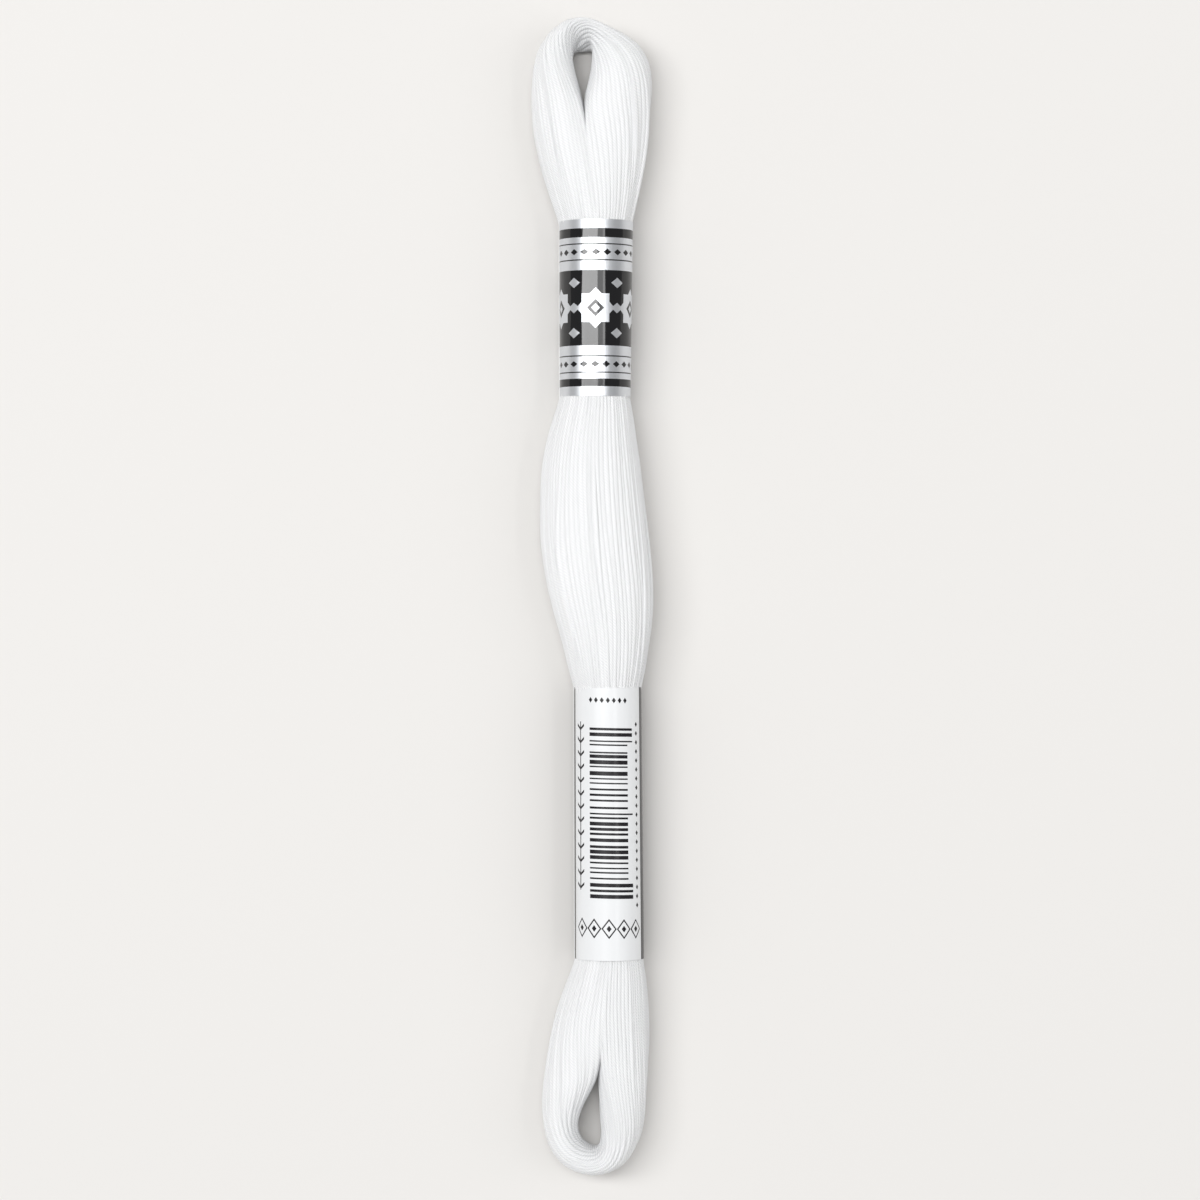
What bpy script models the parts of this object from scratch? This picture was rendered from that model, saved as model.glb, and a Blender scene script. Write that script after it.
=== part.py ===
# A skein of embroidery thread lying flat: a long hank with an eye in the loop at each end, held by two
# paper bands. X is across the skein, Y along it and Z up from the surface that it lies on.

import math

import bmesh
import bpy
import numpy as np

MM = 0.001  # the sizes and tables below are in millimetres, the model in metres

CLEARANCE = 0.3  # between the thread and the paper
FLAT_DIP = 0.3  # how much of a round section's underside is pressed flat
FLAT_HALF_ANGLE = 12  # degrees of a band that lie on the surface, each side of straight down

BAND_WALL = 0.35
BAND_SIDES = 48
BAND_STEP = 8

# The paper bands: where each starts and ends along the skein, and its middle and outer radius there.
BANDS = {
    "upper_band": {"along": (54.1, 28.8), "middle": (0.62, 0.43), "radius": (5.35, 5.15)},
    "lower_band": {"along": (-13.1, -52.3), "middle": (2.28, 2.50), "radius": (4.88, 5.02)},
}
BAND_MOUTH = 0.4  # the thread starts to spread this far outside a band

BODY_RIDGES = 26
BODY_STEP = 4.2
LOOP_RIDGES = 17
LOOP_STEP = 2.4
TURN_LENGTH = 1.6  # a radian of turning takes as many sections as this length
RIDGE_DEPTH = 0.34
DEEPEST_SHARE = 0.2  # of the way to a section's middle, for a groove where the section is narrow
SMOOTH_UNDER = 40  # degrees each side of straight down without ridges, where the thread is pressed flat
SMOOTH_FADE = 15  # degrees over which the ridges fade out there
ARC_SHARE = 0.72  # of a half-round section's turns that lie on its round side
SHARP_ANGLE = 40  # degrees: edges sharper than this stay sharp in the smooth shading

# The thread between the loops, both limbs together, from the top loop's end down to the bottom one's.
# Each row is a section: its place along the skein, its middle, its half width, its underside and its top.
# Past the bands' outer ends it is a core that fills the slit between two limbs.
BODY_COLUMNS = ("along", "middle", "half_width", "bottom", "top")
TOP_CORE = (
    (71.9, -1.27, 1.0, 2.2, 6.6),
    (68.0, -0.87, 1.6, 1.0, 8.4),
    (63.0, -0.3, 2.4, 0.5, 9.25),
    (59.0, 0.15, 3.0, 0.5, 9.7),
    (55.8, 0.5, 3.4, 0.6, 9.9),
    (54.0, 0.6, 3.4, 0.9, 9.55),
    (49.0, 0.58, 3.4, 0.9, 9.55),
)
BULGE = (
    (28.0, 0.4, 5.2, 0.3, 10.1),
    (24.1, 0.05, 6.1, 0.0, 10.7),
    (20.3, -0.1, 6.8, 0.0, 11.0),
    (15.4, -0.05, 7.3, 0.0, 11.2),
    (9.0, 0.25, 7.7, 0.0, 11.2),
    (4.4, 0.7, 7.7, 0.0, 11.2),
    (-0.5, 1.3, 7.35, 0.0, 11.0),
    (-3.4, 1.7, 6.85, 0.0, 10.8),
    (-7.2, 2.05, 6.05, 0.0, 10.4),
    (-12.2, 2.25, 5.1, 0.3, 9.8),
)
BOTTOM_CORE = (
    (-47.0, 2.45, 3.2, 0.9, 9.0),
    (-52.4, 2.5, 3.2, 0.9, 9.0),
    (-53.8, 2.4, 3.1, 0.6, 9.45),
    (-59.0, 1.9, 2.8, 0.5, 9.25),
    (-65.0, 1.4, 1.8, 1.0, 8.5),
    (-69.0, 1.1, 1.0, 2.2, 6.6),
)
CORE_OVERLAP = 3  # the body has its full section in a band until this far before the core's rows

# The thread of each loop, from inside a band up the left limb, round the eye and down the right limb
# into the band again. Each row is a section: its outer and inner ends as they are on top, how far its
# inner end moves over towards the bottom, its underside and its top, how far the turns have twisted
# about the limb, in degrees, and how flat the inner side is (1 is a half round, 0 an ellipse).
LOOP_COLUMNS = (
    "outer_x", "outer_y", "inner_x", "inner_y", "under_x", "under_y", "bottom", "top", "twist", "flat")
TOP_LOOP = (
    (-4.0, 46.5, 0.5, 46.5, 0, 0, 0.65, 9.85, 0, 1),
    (-4.0, 54.4, 0.5, 54.3, 0, 0, 0.65, 9.85, 0, 1),
    (-5.05, 55, 0.6, 54.63, 0, 0, 0.2, 10.1, 0, 1),
    (-6.06, 57.95, 0.24, 57.53, 0, 0, 0.1, 9.9, 0, 1),
    (-7.09, 61.06, -0.07, 60.63, 0, 0, 0.05, 9.7, 0, 1),
    (-7.93, 64.17, -0.45, 63.76, 0, 0, 0, 9.4, 0, 0.95),
    (-8.54, 68.32, -0.84, 67.82, 0, 0, 0, 9.1, 0, 0.8),
    (-8.71, 72.29, -1.38, 71.87, 0, 0, 0, 8.9, -4, 0.4),
    (-8.67, 75.05, -2.21, 74.48, 0, 0, 0, 8.75, -14, 0.15),
    (-8.35, 77.36, -2.82, 76.93, 0.2, 0.76, 0, 8.7, -26, 0),
    (-7.66, 79.83, -3.24, 79.39, 1.23, -1.22, 0, 8.6, -40, 0),
    (-6.5, 81.64, -3.24, 80.9, 1.62, -3.05, 0, 8.6, -54, 0),
    (-5.2, 82.78, -3.06, 81.78, 1.78, -4.05, 0, 8.5, -66, 0),
    (-3.75, 83.36, -2.62, 82.28, 1.54, -4.52, 0, 8.5, -78, 0),
    (-2.02, 83.56, -1.85, 82.49, 0.86, -4.6, 0, 8.5, -90, 0),
    (-0.28, 83.6, -0.85, 82.49, 0.12, -4.4, 0, 8.5, -102, 0),
    (1.03, 83.1, -0.44, 82.07, 0.01, -3.55, 0, 8.5, -112, 0),
    (2.47, 82.3, -0.34, 81.42, 0.27, -2.47, 0, 8.5, -122, 0),
    (4.36, 81.62, -0.24, 80.34, 0.34, -1.22, 0, 8.5, -133, 0),
    (6.76, 80.13, -0.08, 78.68, 0.16, 0.32, 0, 8.5, -146, 0),
    (8.12, 77.95, -0.13, 76.51, 0, 0, 0, 8.6, -157, 0),
    (8.7, 74.9, -0.41, 74.19, 0, 0, 0, 8.75, -166, 0.1),
    (8.58, 71.71, -1.1, 71.72, 0, 0, 0, 8.9, -173, 0.5),
    (8.3, 67.7, -0.8, 67.53, 0, 0, 0, 9.1, -178, 0.8),
    (7.78, 63.56, -0.41, 63.18, 0, 0, 0, 9.4, -180, 0.95),
    (7.03, 59.36, 0.11, 58.97, 0, 0, 0.05, 9.8, -180, 1),
    (6.17, 55, 0.64, 54.63, 0, 0, 0.2, 10.1, -180, 1),
    (5.2, 54.4, 0.7, 54.3, 0, 0, 0.65, 9.85, -180, 1),
    (5.2, 46.5, 0.7, 46.5, 0, 0, 0.65, 9.85, -180, 1),
)
BOTTOM_LOOP = (
    (-1.8, -45.0, 2.4, -45.0, 0, 0, 0.68, 9.28, 0, 1),
    (-1.75, -52.7, 2.45, -52.6, 0, 0, 0.68, 9.28, 0, 1),
    (-2.65, -53.44, 2.39, -53.11, 0, 0, 0.2, 9.6, 0, 1),
    (-4.14, -57.16, 2.1, -56.85, 0, 0, 0.1, 9.6, 0, 1),
    (-5.34, -60.79, 1.82, -60.46, 0, 0, 0, 9.4, 0, 1),
    (-6.31, -65.63, 1.39, -65.24, 0, 0, 0, 9.1, 4, 0.85),
    (-7.04, -70.46, 0.95, -69.29, 0, 0, 0, 8.9, 12, 0.35),
    (-7.23, -74.04, -0.85, -72.62, 0, 0, 0, 8.7, 24, 0),
    (-7.01, -76.65, -2.07, -75.37, 0, 0, 0, 8.6, 38, 0),
    (-6.21, -79.69, -2.14, -77.53, 0, 0, 0, 8.6, 58, 0),
    (-4.62, -81.94, -1.42, -78.83, 0, 0, 0, 8.6, 80, 0),
    (-2.16, -83.46, -0.41, -79.76, 0, 0, 0, 8.6, 102, 0),
    (0.74, -83.82, 0.74, -80.05, 0, 0, 0, 8.6, 122, 0),
    (3.2, -83.31, 1.46, -79.4, 0, 0, 0, 8.6, 138, 0),
    (5.22, -81.65, 1.46, -78.11, 0, 0, 0, 8.6, 150, 0),
    (6.82, -79.12, 1.31, -76.38, 0, 0, 0, 8.6, 158, 0),
    (7.61, -75.78, 1.1, -73.92, 0, 0, 0, 8.7, 164, 0),
    (7.93, -71.68, 1, -70.45, 0, 0, 0, 8.8, 170, 0.3),
    (8.16, -65.63, 1.43, -65.24, 0, 0, 0, 9.1, 176, 0.85),
    (8.08, -60.79, 1.86, -60.46, 0, 0, 0, 9.4, 180, 1),
    (7.92, -57.16, 2.15, -56.85, 0, 0, 0.1, 9.6, 180, 1),
    (7.65, -53.44, 2.43, -53.11, 0, 0, 0.2, 9.6, 180, 1),
    (6.8, -52.7, 2.6, -52.6, 0, 0, 0.68, 9.28, 180, 1),
    (6.75, -45.0, 2.55, -45.0, 0, 0, 0.68, 9.28, 180, 1),
)

FINISHES = {
    "skein": {"colour": (0.9, 0.9, 0.91), "roughness": 0.62, "metallic": 0.0},
    "upper_band": {"colour": (0.62, 0.64, 0.67), "roughness": 0.28, "metallic": 0.85},
    "lower_band": {"colour": (0.86, 0.87, 0.88), "roughness": 0.22, "metallic": 0.0},
}


def clear_scene():
    for old in list(bpy.data.objects):
        bpy.data.objects.remove(old, do_unlink=True)


def material(name):
    finish = FINISHES[name]
    made = bpy.data.materials.new(name)
    made.use_nodes = True
    shader = made.node_tree.nodes["Principled BSDF"]
    shader.inputs["Base Color"].default_value = (*finish["colour"], 1)
    shader.inputs["Roughness"].default_value = finish["roughness"]
    shader.inputs["Metallic"].default_value = finish["metallic"]
    return made


def smooth_rows(places, rows, step):
    """The rows at about every step along places, on a curve through them that doesn't overshoot."""
    places, rows = np.array(places, float), np.array(rows, float)
    gaps = np.diff(places)
    slopes = np.diff(rows, axis=0) / gaps[:, None]
    tangents = np.zeros_like(rows)
    tangents[0], tangents[-1] = slopes[0], slopes[-1]
    before, after = slopes[:-1], slopes[1:]
    same_way = before * after > 0
    total = np.where(same_way, before + after, 1)
    tangents[1:-1] = np.where(same_way, 2 * before * after / total, 0)
    made = []
    for i, gap in enumerate(gaps):
        count = max(1, round(abs(gap) / step))
        for t in np.arange(count) / count:
            start = (1 + 2 * t) * (1 - t) ** 2 * rows[i] + t * (1 - t) ** 2 * gap * tangents[i]
            end = t * t * (3 - 2 * t) * rows[i + 1] + t * t * (t - 1) * gap * tangents[i + 1]
            made.append(start + end)
    made.append(rows[-1])
    return np.array(made)


def named(row, columns):
    return dict(zip(columns, row))


def groove_depths(ridges, place, angles):
    """How far each point of a section is let in: every second one is a groove between two ridges.

    The grooves get deeper and shallower along the skein, and fade out on the flat underside.
    """
    index = np.arange(2 * ridges)
    uneven = 0.8 + 0.35 * np.sin(0.9 * index + 0.11 * place) * np.cos(0.37 * index - 0.07 * place)
    from_below = np.abs((np.degrees(angles) + 90 + 180) % 360 - 180)
    fade = np.clip((from_below - SMOOTH_UNDER) / SMOOTH_FADE, 0, 1)
    return RIDGE_DEPTH * (index % 2) * uneven * fade


def loft(name, rings):
    """One closed body through the rings of points, with a flat cap at each end."""
    shape = bmesh.new()
    loops = [[shape.verts.new(point) for point in ring * MM] for ring in rings]
    for low, high in zip(loops, loops[1:]):
        for i in range(len(low)):
            j = (i + 1) % len(low)
            shape.faces.new((low[i], low[j], high[j], high[i]))
    shape.faces.new(loops[0])
    shape.faces.new(loops[-1])
    return finished(name, shape)


def finished(name, shape):
    bmesh.ops.recalc_face_normals(shape, faces=shape.faces)
    mesh = bpy.data.meshes.new(name)
    shape.to_mesh(mesh)
    shape.free()
    mesh.shade_smooth()
    mesh.set_sharp_from_angle(angle=math.radians(SHARP_ANGLE))
    made = bpy.data.objects.new(name, mesh)
    bpy.context.scene.collection.objects.link(made)
    return made


def body_rows():
    """The body's table, with the sections that run through the two bands put in."""
    upper, lower = BANDS["upper_band"], BANDS["lower_band"]
    upper_span = (TOP_CORE[-1][0] - CORE_OVERLAP, upper["along"][1] - BAND_MOUTH)
    lower_span = (lower["along"][0] + BAND_MOUTH, BOTTOM_CORE[0][0] + CORE_OVERLAP)
    rows = list(TOP_CORE)
    for band, span, below in ((upper, upper_span, BULGE), (lower, lower_span, BOTTOM_CORE)):
        for along, middle, radius in zip(span, band["middle"], band["radius"]):
            inside = radius - BAND_WALL - CLEARANCE
            axis = radius * math.cos(math.radians(FLAT_HALF_ANGLE))
            rows.append((along, middle, inside, BAND_WALL + CLEARANCE, axis + inside))
        rows += below
    return rows


def body_ring(row):
    section = named(row, BODY_COLUMNS)
    half_height = (section["top"] - section["bottom"] + FLAT_DIP) / 2
    angles = np.arange(2 * BODY_RIDGES) * math.pi / BODY_RIDGES
    groove = groove_depths(BODY_RIDGES, section["along"], angles)
    x = section["middle"] + (section["half_width"] - groove) * np.cos(angles)
    z = section["top"] - half_height + (half_height - groove) * np.sin(angles)
    y = np.full_like(x, section["along"])
    return np.column_stack((x, y, np.maximum(z, section["bottom"])))


def limb_outline(angles, flat):
    """A section one unit in half width and half height: a half round whose flat side faces inwards,
    an ellipse, or something between the two."""
    turn = (angles + math.pi) % (2 * math.pi) - math.pi
    arc = ARC_SHARE * math.pi
    on_arc = np.abs(turn) <= arc
    along_arc = turn / arc * math.pi / 2
    along_flat = np.sign(turn) * (math.pi - np.abs(turn)) / (math.pi - arc)
    half_out = np.where(on_arc, 2 * np.cos(along_arc) - 1, -1)
    half_up = np.where(on_arc, np.sin(along_arc), along_flat)
    out = flat * half_out + (1 - flat) * np.cos(angles)
    up = flat * half_up + (1 - flat) * np.sin(angles)
    return out, up


def loop_ring(row):
    section = named(row, LOOP_COLUMNS)
    outer = np.array((section["outer_x"], section["outer_y"]))
    inner = np.array((section["inner_x"], section["inner_y"]))
    under = np.array((section["under_x"], section["under_y"]))
    half_width = np.linalg.norm(outer - inner) / 2
    half_height = (section["top"] - section["bottom"]) / 2
    own_angles = np.arange(2 * LOOP_RIDGES) * math.pi / LOOP_RIDGES
    angles = own_angles + math.radians(section["twist"])
    out, up = limb_outline(angles, section["flat"])
    reach = np.hypot(out * half_width, up * half_height)
    groove = groove_depths(LOOP_RIDGES, section["inner_y"], angles)
    kept = 1 - np.minimum(groove / reach, DEEPEST_SHARE)
    out, up = out * kept, up * kept
    slant = (1 - out) * (1 - up) / 4
    place = (outer + inner) / 2 + np.outer(out, outer - inner) / 2 + np.outer(slant, under)
    z = section["bottom"] + half_height * (1 + up)
    return np.column_stack((place, z))


def loop_of_thread(name, rows):
    table = np.array(rows)
    outer, inner = table[:, 0:2], table[:, 2:4]
    steps = [np.linalg.norm(np.diff(ends, axis=0), axis=1) for ends in (outer, inner)]
    facing = np.unwrap(np.arctan2(outer[:, 1] - inner[:, 1], outer[:, 0] - inner[:, 0]))
    turns = np.abs(np.diff(facing))
    places = np.concatenate(([0], np.cumsum(sum(steps) / 2 + turns * TURN_LENGTH)))
    return loft(name, [loop_ring(row) for row in smooth_rows(places, rows, LOOP_STEP)])


def make_skein():
    rows = body_rows()
    places = [row[0] for row in rows]
    skein = loft("skein", [body_ring(row) for row in smooth_rows(places, rows, BODY_STEP)])
    for name, table in (("top_loop", TOP_LOOP), ("bottom_loop", BOTTOM_LOOP)):
        loop = loop_of_thread(name, table)
        loop.hide_render = True
        loop.display_type = "WIRE"
        joined = skein.modifiers.new(name, "BOOLEAN")
        joined.operation = "UNION"
        joined.solver = "EXACT"
        joined.object = loop
    return skein


def band_ring(middle, along, radius, wall):
    """A circle of the band, inner or outer, pressed flat where it lies on the surface."""
    outer = radius * math.cos(math.radians(FLAT_HALF_ANGLE))
    angles = (np.arange(BAND_SIDES) + 0.5) * 2 * math.pi / BAND_SIDES
    x = middle + (radius - wall) * np.cos(angles)
    z = np.maximum(outer + (radius - wall) * np.sin(angles), wall)
    return np.column_stack((x, np.full_like(x, along), z))


def make_band(name):
    """A paper tube: its outer rings from end to end, then its inner rings back, joined in a round."""
    sizes = BANDS[name]
    ends = [(sizes["along"][i], sizes["middle"][i], sizes["radius"][i]) for i in (0, 1)]
    rows = smooth_rows(sizes["along"], ends, BAND_STEP)
    outer = [band_ring(middle, along, radius, 0) for along, middle, radius in rows]
    inner = [band_ring(middle, along, radius, BAND_WALL) for along, middle, radius in rows]
    shape = bmesh.new()
    loops = [[shape.verts.new(point) for point in ring * MM] for ring in outer + inner[::-1]]
    for low, high in zip(loops, loops[1:] + loops[:1]):
        for i in range(BAND_SIDES):
            j = (i + 1) % BAND_SIDES
            shape.faces.new((low[i], low[j], high[j], high[i]))
    return finished(name, shape)


def main():
    clear_scene()
    pieces = [make_skein()] + [make_band(name) for name in BANDS]
    for piece in pieces:
        piece.data.materials.append(material(piece.name))


main()
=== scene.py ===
# A skein of white embroidery thread with a silver and a white paper band, seen from straight above.
# X is across the skein, Y along it and Z up. Sizes in the settings are in millimetres, but the studio's
# are in metres.
import math

import bpy
import numpy as np
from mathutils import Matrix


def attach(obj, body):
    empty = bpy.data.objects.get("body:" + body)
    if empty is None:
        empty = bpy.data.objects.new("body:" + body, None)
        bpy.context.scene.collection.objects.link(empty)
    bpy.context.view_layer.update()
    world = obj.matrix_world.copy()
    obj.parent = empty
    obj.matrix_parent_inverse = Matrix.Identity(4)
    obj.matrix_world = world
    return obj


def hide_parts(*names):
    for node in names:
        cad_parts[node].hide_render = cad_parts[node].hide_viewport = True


mm = 0.001
fullTurn = 6.28  # near enough for a random start

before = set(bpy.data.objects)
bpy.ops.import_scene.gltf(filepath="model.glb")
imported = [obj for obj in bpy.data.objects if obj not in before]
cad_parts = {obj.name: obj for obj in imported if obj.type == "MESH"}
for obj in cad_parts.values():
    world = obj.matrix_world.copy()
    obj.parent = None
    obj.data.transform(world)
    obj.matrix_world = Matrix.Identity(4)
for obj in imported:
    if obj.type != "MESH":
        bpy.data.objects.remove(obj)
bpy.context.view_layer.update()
print("frame loaded:", sorted(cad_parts))

# the camera hangs over the middle of the photograph, level with its frame
cameraSettings = {
    "x": 1.17, "y": -0.51, "distance": 600, "height": 5,
    "view": 173.5, "sensor": 36, "nearest": 50,
}

# thread: one length wound in turns, laid in layers from the outside in
thread = {
    "thick": 0.56, "narrowest": 0.34, "spread": 1.28,  # a turn spreads to touch its neighbours
    "roundest": 1.1,  # a squeezed turn's thickness is at most this many times its width
    # each layer's depth under the skein's surface, and the share of the way out that its turns keep
    "layers": ({"turns": 44, "depth": 0.0, "fill": 1.0, "sides": 8, "widest": 1.8},
               {"turns": 28, "depth": 0.46, "fill": 1.0, "sides": 6, "widest": 0.9},
               {"turns": 17, "depth": 0.9, "fill": 0.93, "sides": 5, "widest": 0.6},
               {"turns": 8, "depth": 0.9, "fill": 0.5, "sides": 5, "widest": 0.6}),
    # turns that stand proud between two places along one limb and stray over their neighbours, in degrees
    "loose": ({"limb": "right", "turn": 14, "span": (56, 80), "lift": 0.3, "stray": -7},
              {"limb": "right", "turn": 17, "span": (60, 77), "lift": 0.2, "stray": 9},
              {"limb": "right", "turn": 11, "span": (-11.5, 27), "lift": 0.2, "stray": 0},
              {"limb": "right", "turn": 16, "span": (-12, 9), "lift": 0.26, "stray": 10},
              {"limb": "right", "turn": 11, "span": (-76, -54), "lift": 0.24, "stray": 0},
              {"limb": "left", "turn": 40, "span": (-12.4, 7), "lift": 0.3, "stray": 14},
              {"limb": "left", "turn": 43, "span": (-11, 17), "lift": 0.26, "stray": -11},
              {"limb": "left", "turn": 42, "span": (57, 74), "lift": 0.2, "stray": 4}),
    "looseFades": (30, 45),  # degrees of twist from its limb's own over which a loose turn sinks back
    "samples": 262,
    "turnLength": 1.6,  # a radian of turning gets as many samples as this length
    "arcShare": (0.7, 0.8),  # of the turns, on a section's outer side: in an eye's wall, in a half round
    "leastReach": 0.1,  # no turn lies closer than this to its section's middle
    "shiftFrom": -50.5,  # where on the left limb a turn starts to move over to the next one's place
    "lastStretch": 0.9,  # the share of the ring after which a turn is back on the left limb
    # degrees that neighbours drift together, in how many bunches, and the drift's wave lengths
    "bunching": 2.2, "bunches": (3, 5, 8, 13), "bunchWaves": (30, 90),
    "wander": 1.2, "wanderWaves": (25, 80),  # degrees that a turn strays by itself
    "slack": 0.09, "slackWaves": (20, 60), "slackLimits": (-1.5, 1.2),  # how far a turn sinks or stands proud
    "room": (0.46, 0.55),  # where turns get less room than this, every second one dives under the others
    "dive": 0.3,
    "easing": 3,  # how many times a path's kinks are drawn out
    "seed": 7,
    "plies": 6, "plyPitch": 2.7,
}

# both limbs together between the loops: along, middle, half width, underside, top
bodyRows = (
    (54.1, 0.62, 5.02, 0.17, 10.18),
    (28.8, 0.43, 4.82, 0.17, 9.8),
    (28.1, 0.42, 5.22, 0.0, 10.3),
    (24.1, 0.05, 6.15, 0.0, 10.7),
    (20.3, -0.1, 6.85, 0.0, 11.0),
    (15.4, -0.05, 7.35, 0.0, 11.2),
    (9.0, 0.25, 7.75, 0.0, 11.2),
    (4.4, 0.7, 7.72, 0.0, 11.2),
    (-0.5, 1.3, 7.4, 0.0, 11.0),
    (-3.4, 1.7, 6.9, 0.0, 10.8),
    (-7.2, 2.05, 6.1, 0.0, 10.4),
    (-12.4, 2.25, 5.05, 0.1, 9.8),
    (-13.1, 2.28, 4.55, 0.17, 9.25),
    (-52.3, 2.50, 4.69, 0.17, 9.55),
)

# round each loop: the section's outer and inner ends on top, how far the inner end moves over
# at the bottom, and how far the turns have twisted; flat is 1 for a half round, 0 for an ellipse
ringColumns = ("outerX", "outerY", "innerX", "innerY", "underX", "underY", "low", "high", "twist", "flat")
topLoop = (
    (-5.05, 55, 0.6, 54.63, 0, 0, 0.2, 10.1, 0, 1),
    (-6.06, 57.95, 0.24, 57.53, 0, 0, 0.1, 9.9, 0, 1),
    (-7.09, 61.06, -0.07, 60.63, 0, 0, 0.05, 9.7, 0, 1),
    (-7.93, 64.17, -0.45, 63.76, 0, 0, 0, 9.4, -2, 0.95),
    (-8.54, 68.32, -0.84, 67.82, 0, 0, 0, 9.1, -7, 0.8),
    (-8.71, 72.29, -1.38, 71.87, 0, 0, 0, 8.9, -14, 0.4),
    (-8.67, 75.05, -2.21, 74.48, 0, 0, 0, 8.75, -21, 0.15),
    (-8.35, 77.36, -2.82, 76.93, 0.2, 0.4, 0, 8.7, -30, 0),
    (-7.66, 79.83, -3.24, 79.39, 1.23, -1.4, 0, 8.6, -44, 0),
    (-6.5, 81.64, -3.24, 80.9, 1.62, -3.05, 0, 8.6, -61, 0),
    (-5.2, 82.78, -3.06, 81.78, 1.78, -4.05, 0, 8.5, -76, 0),
    (-3.75, 83.36, -2.62, 82.28, 1.6, -4.65, 0, 8.5, -89, 0),
    (-2.02, 83.56, -1.85, 82.49, 1.1, -4.8, 0, 8.5, -100, 0),
    (-0.28, 83.6, -0.85, 82.49, 0.6, -4.6, 0, 8.5, -110, 0),
    (1.03, 83.1, -0.44, 82.07, 0.5, -4.1, 0, 8.5, -118, 0),
    (2.47, 82.3, -0.34, 81.42, 0.45, -3.35, 0, 8.5, -126, 0),
    (4.36, 81.62, -0.24, 80.34, 0.4, -2.2, 0, 8.5, -136, 0),
    (6.76, 80.13, -0.08, 78.68, 0.16, -0.6, 0, 8.5, -147, 0),
    (8.12, 77.95, -0.13, 76.51, 0, 0, 0, 8.6, -157, 0),
    (8.7, 74.9, -0.41, 74.19, 0, 0, 0, 8.75, -166, 0.1),
    (8.58, 71.71, -1.1, 71.72, 0, 0, 0, 8.9, -173, 0.5),
    (8.3, 67.7, -0.8, 67.53, 0, 0, 0, 9.1, -178, 0.8),
    (7.78, 63.56, -0.41, 63.18, 0, 0, 0, 9.4, -180, 0.95),
    (7.03, 59.36, 0.11, 58.97, 0, 0, 0.05, 9.8, -180, 1),
    (6.17, 55, 0.64, 54.63, 0, 0, 0.2, 10.1, -180, 1),
)
bottomLoop = (
    (-2.65, -53.44, 2.39, -53.11, 0, 0, 0.2, 9.6, 0, 1),
    (-4.14, -57.16, 2.1, -56.85, 0, 0, 0.1, 9.6, 0, 1),
    (-5.34, -60.79, 1.82, -60.46, 0, 0, 0, 9.4, 0, 1),
    (-6.31, -65.63, 1.39, -65.24, 0, 0, 0, 9.1, 4, 0.85),
    (-7.04, -70.46, 0.95, -69.29, 0, 0, 0, 8.9, 11, 0.35),
    (-7.23, -74.04, -0.85, -72.62, 0, 0, 0, 8.7, 20, 0),
    (-7.01, -76.65, -2.35, -75.44, 0.57, 0.15, 0, 8.6, 32, 0),
    (-6.21, -79.69, -2.67, -77.81, 1.17, 0.62, 0, 8.6, 48, 0),
    (-4.62, -81.94, -2.03, -79.42, 1.36, 1.32, 0, 8.6, 66, 0),
    (-2.16, -83.46, -0.78, -80.55, 0.84, 1.76, 0, 8.6, 84, 0),
    (0.74, -83.82, 0.74, -80.92, 0.0, 1.95, 0, 8.6, 100, 0),
    (3.2, -83.31, 1.76, -80.1, -0.66, 1.5, 0, 8.6, 112, 0),
    (5.22, -81.65, 1.78, -78.41, -0.7, 0.66, 0, 8.6, 122, 0),
    (6.82, -79.12, 1.44, -76.45, -0.28, 0.15, 0, 8.6, 131, 0),
    (7.61, -75.78, 1.1, -73.92, 0, 0, 0, 8.7, 141, 0),
    (7.93, -71.68, 1, -70.45, 0, 0, 0, 8.8, 153, 0.3),
    (8.16, -65.63, 1.43, -65.24, 0, 0, 0, 9.1, 168, 0.85),
    (8.08, -60.79, 1.86, -60.46, 0, 0, 0, 9.4, 177, 1),
    (7.92, -57.16, 2.15, -56.85, 0, 0, 0.1, 9.6, 180, 1),
    (7.65, -53.44, 2.43, -53.11, 0, 0, 0.2, 9.6, 180, 1),
)


limbTwists = {"left": (0, -360), "right": (-180,)}  # how far the turns have twisted on each limb


def limbRow(bodyRow, limb):
    # one limb's half of a body section
    along, middle, halfWidth, underside, top = bodyRow
    outer = middle - halfWidth if limb == "left" else middle + halfWidth
    return (outer, along, middle, along, 0, 0, underside, top, limbTwists[limb][0], 1)


def startRow():
    # the winding starts half way along the lower band, where the paper hides it
    upper, lower = np.array(bodyRows[-2]), np.array(bodyRows[-1])
    return limbRow((upper + lower) / 2, "left")


def ringRows():
    # up the left limb, round the top loop, down the right limb, round the bottom loop
    turnedBack = np.array([-360 if name == "twist" else 0 for name in ringColumns])
    rows = [startRow()]
    rows += [limbRow(row, "left") for row in bodyRows[-2::-1]]
    rows += topLoop
    rows += [limbRow(row, "right") for row in bodyRows]
    rows += [np.array(row) + turnedBack for row in bottomLoop[::-1]]
    rows += [np.array(limbRow(bodyRows[-1], "left")) + turnedBack]
    rows += [np.array(startRow()) + turnedBack]
    return np.array(rows, float)


def placesAlong(rows):
    # how far along the ring each row lies, with more room where the sections turn
    outer, inner = rows[:, 0:2], rows[:, 2:4]
    outerSteps, innerSteps = (np.linalg.norm(np.diff(ends, axis=0), axis=1) for ends in (outer, inner))
    steps = (outerSteps + innerSteps) / 2
    facing = np.unwrap(np.arctan2(*(outer - inner).T[::-1]))
    return np.concatenate(([0], np.cumsum(steps + np.abs(np.diff(facing)) * thread["turnLength"])))


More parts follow.
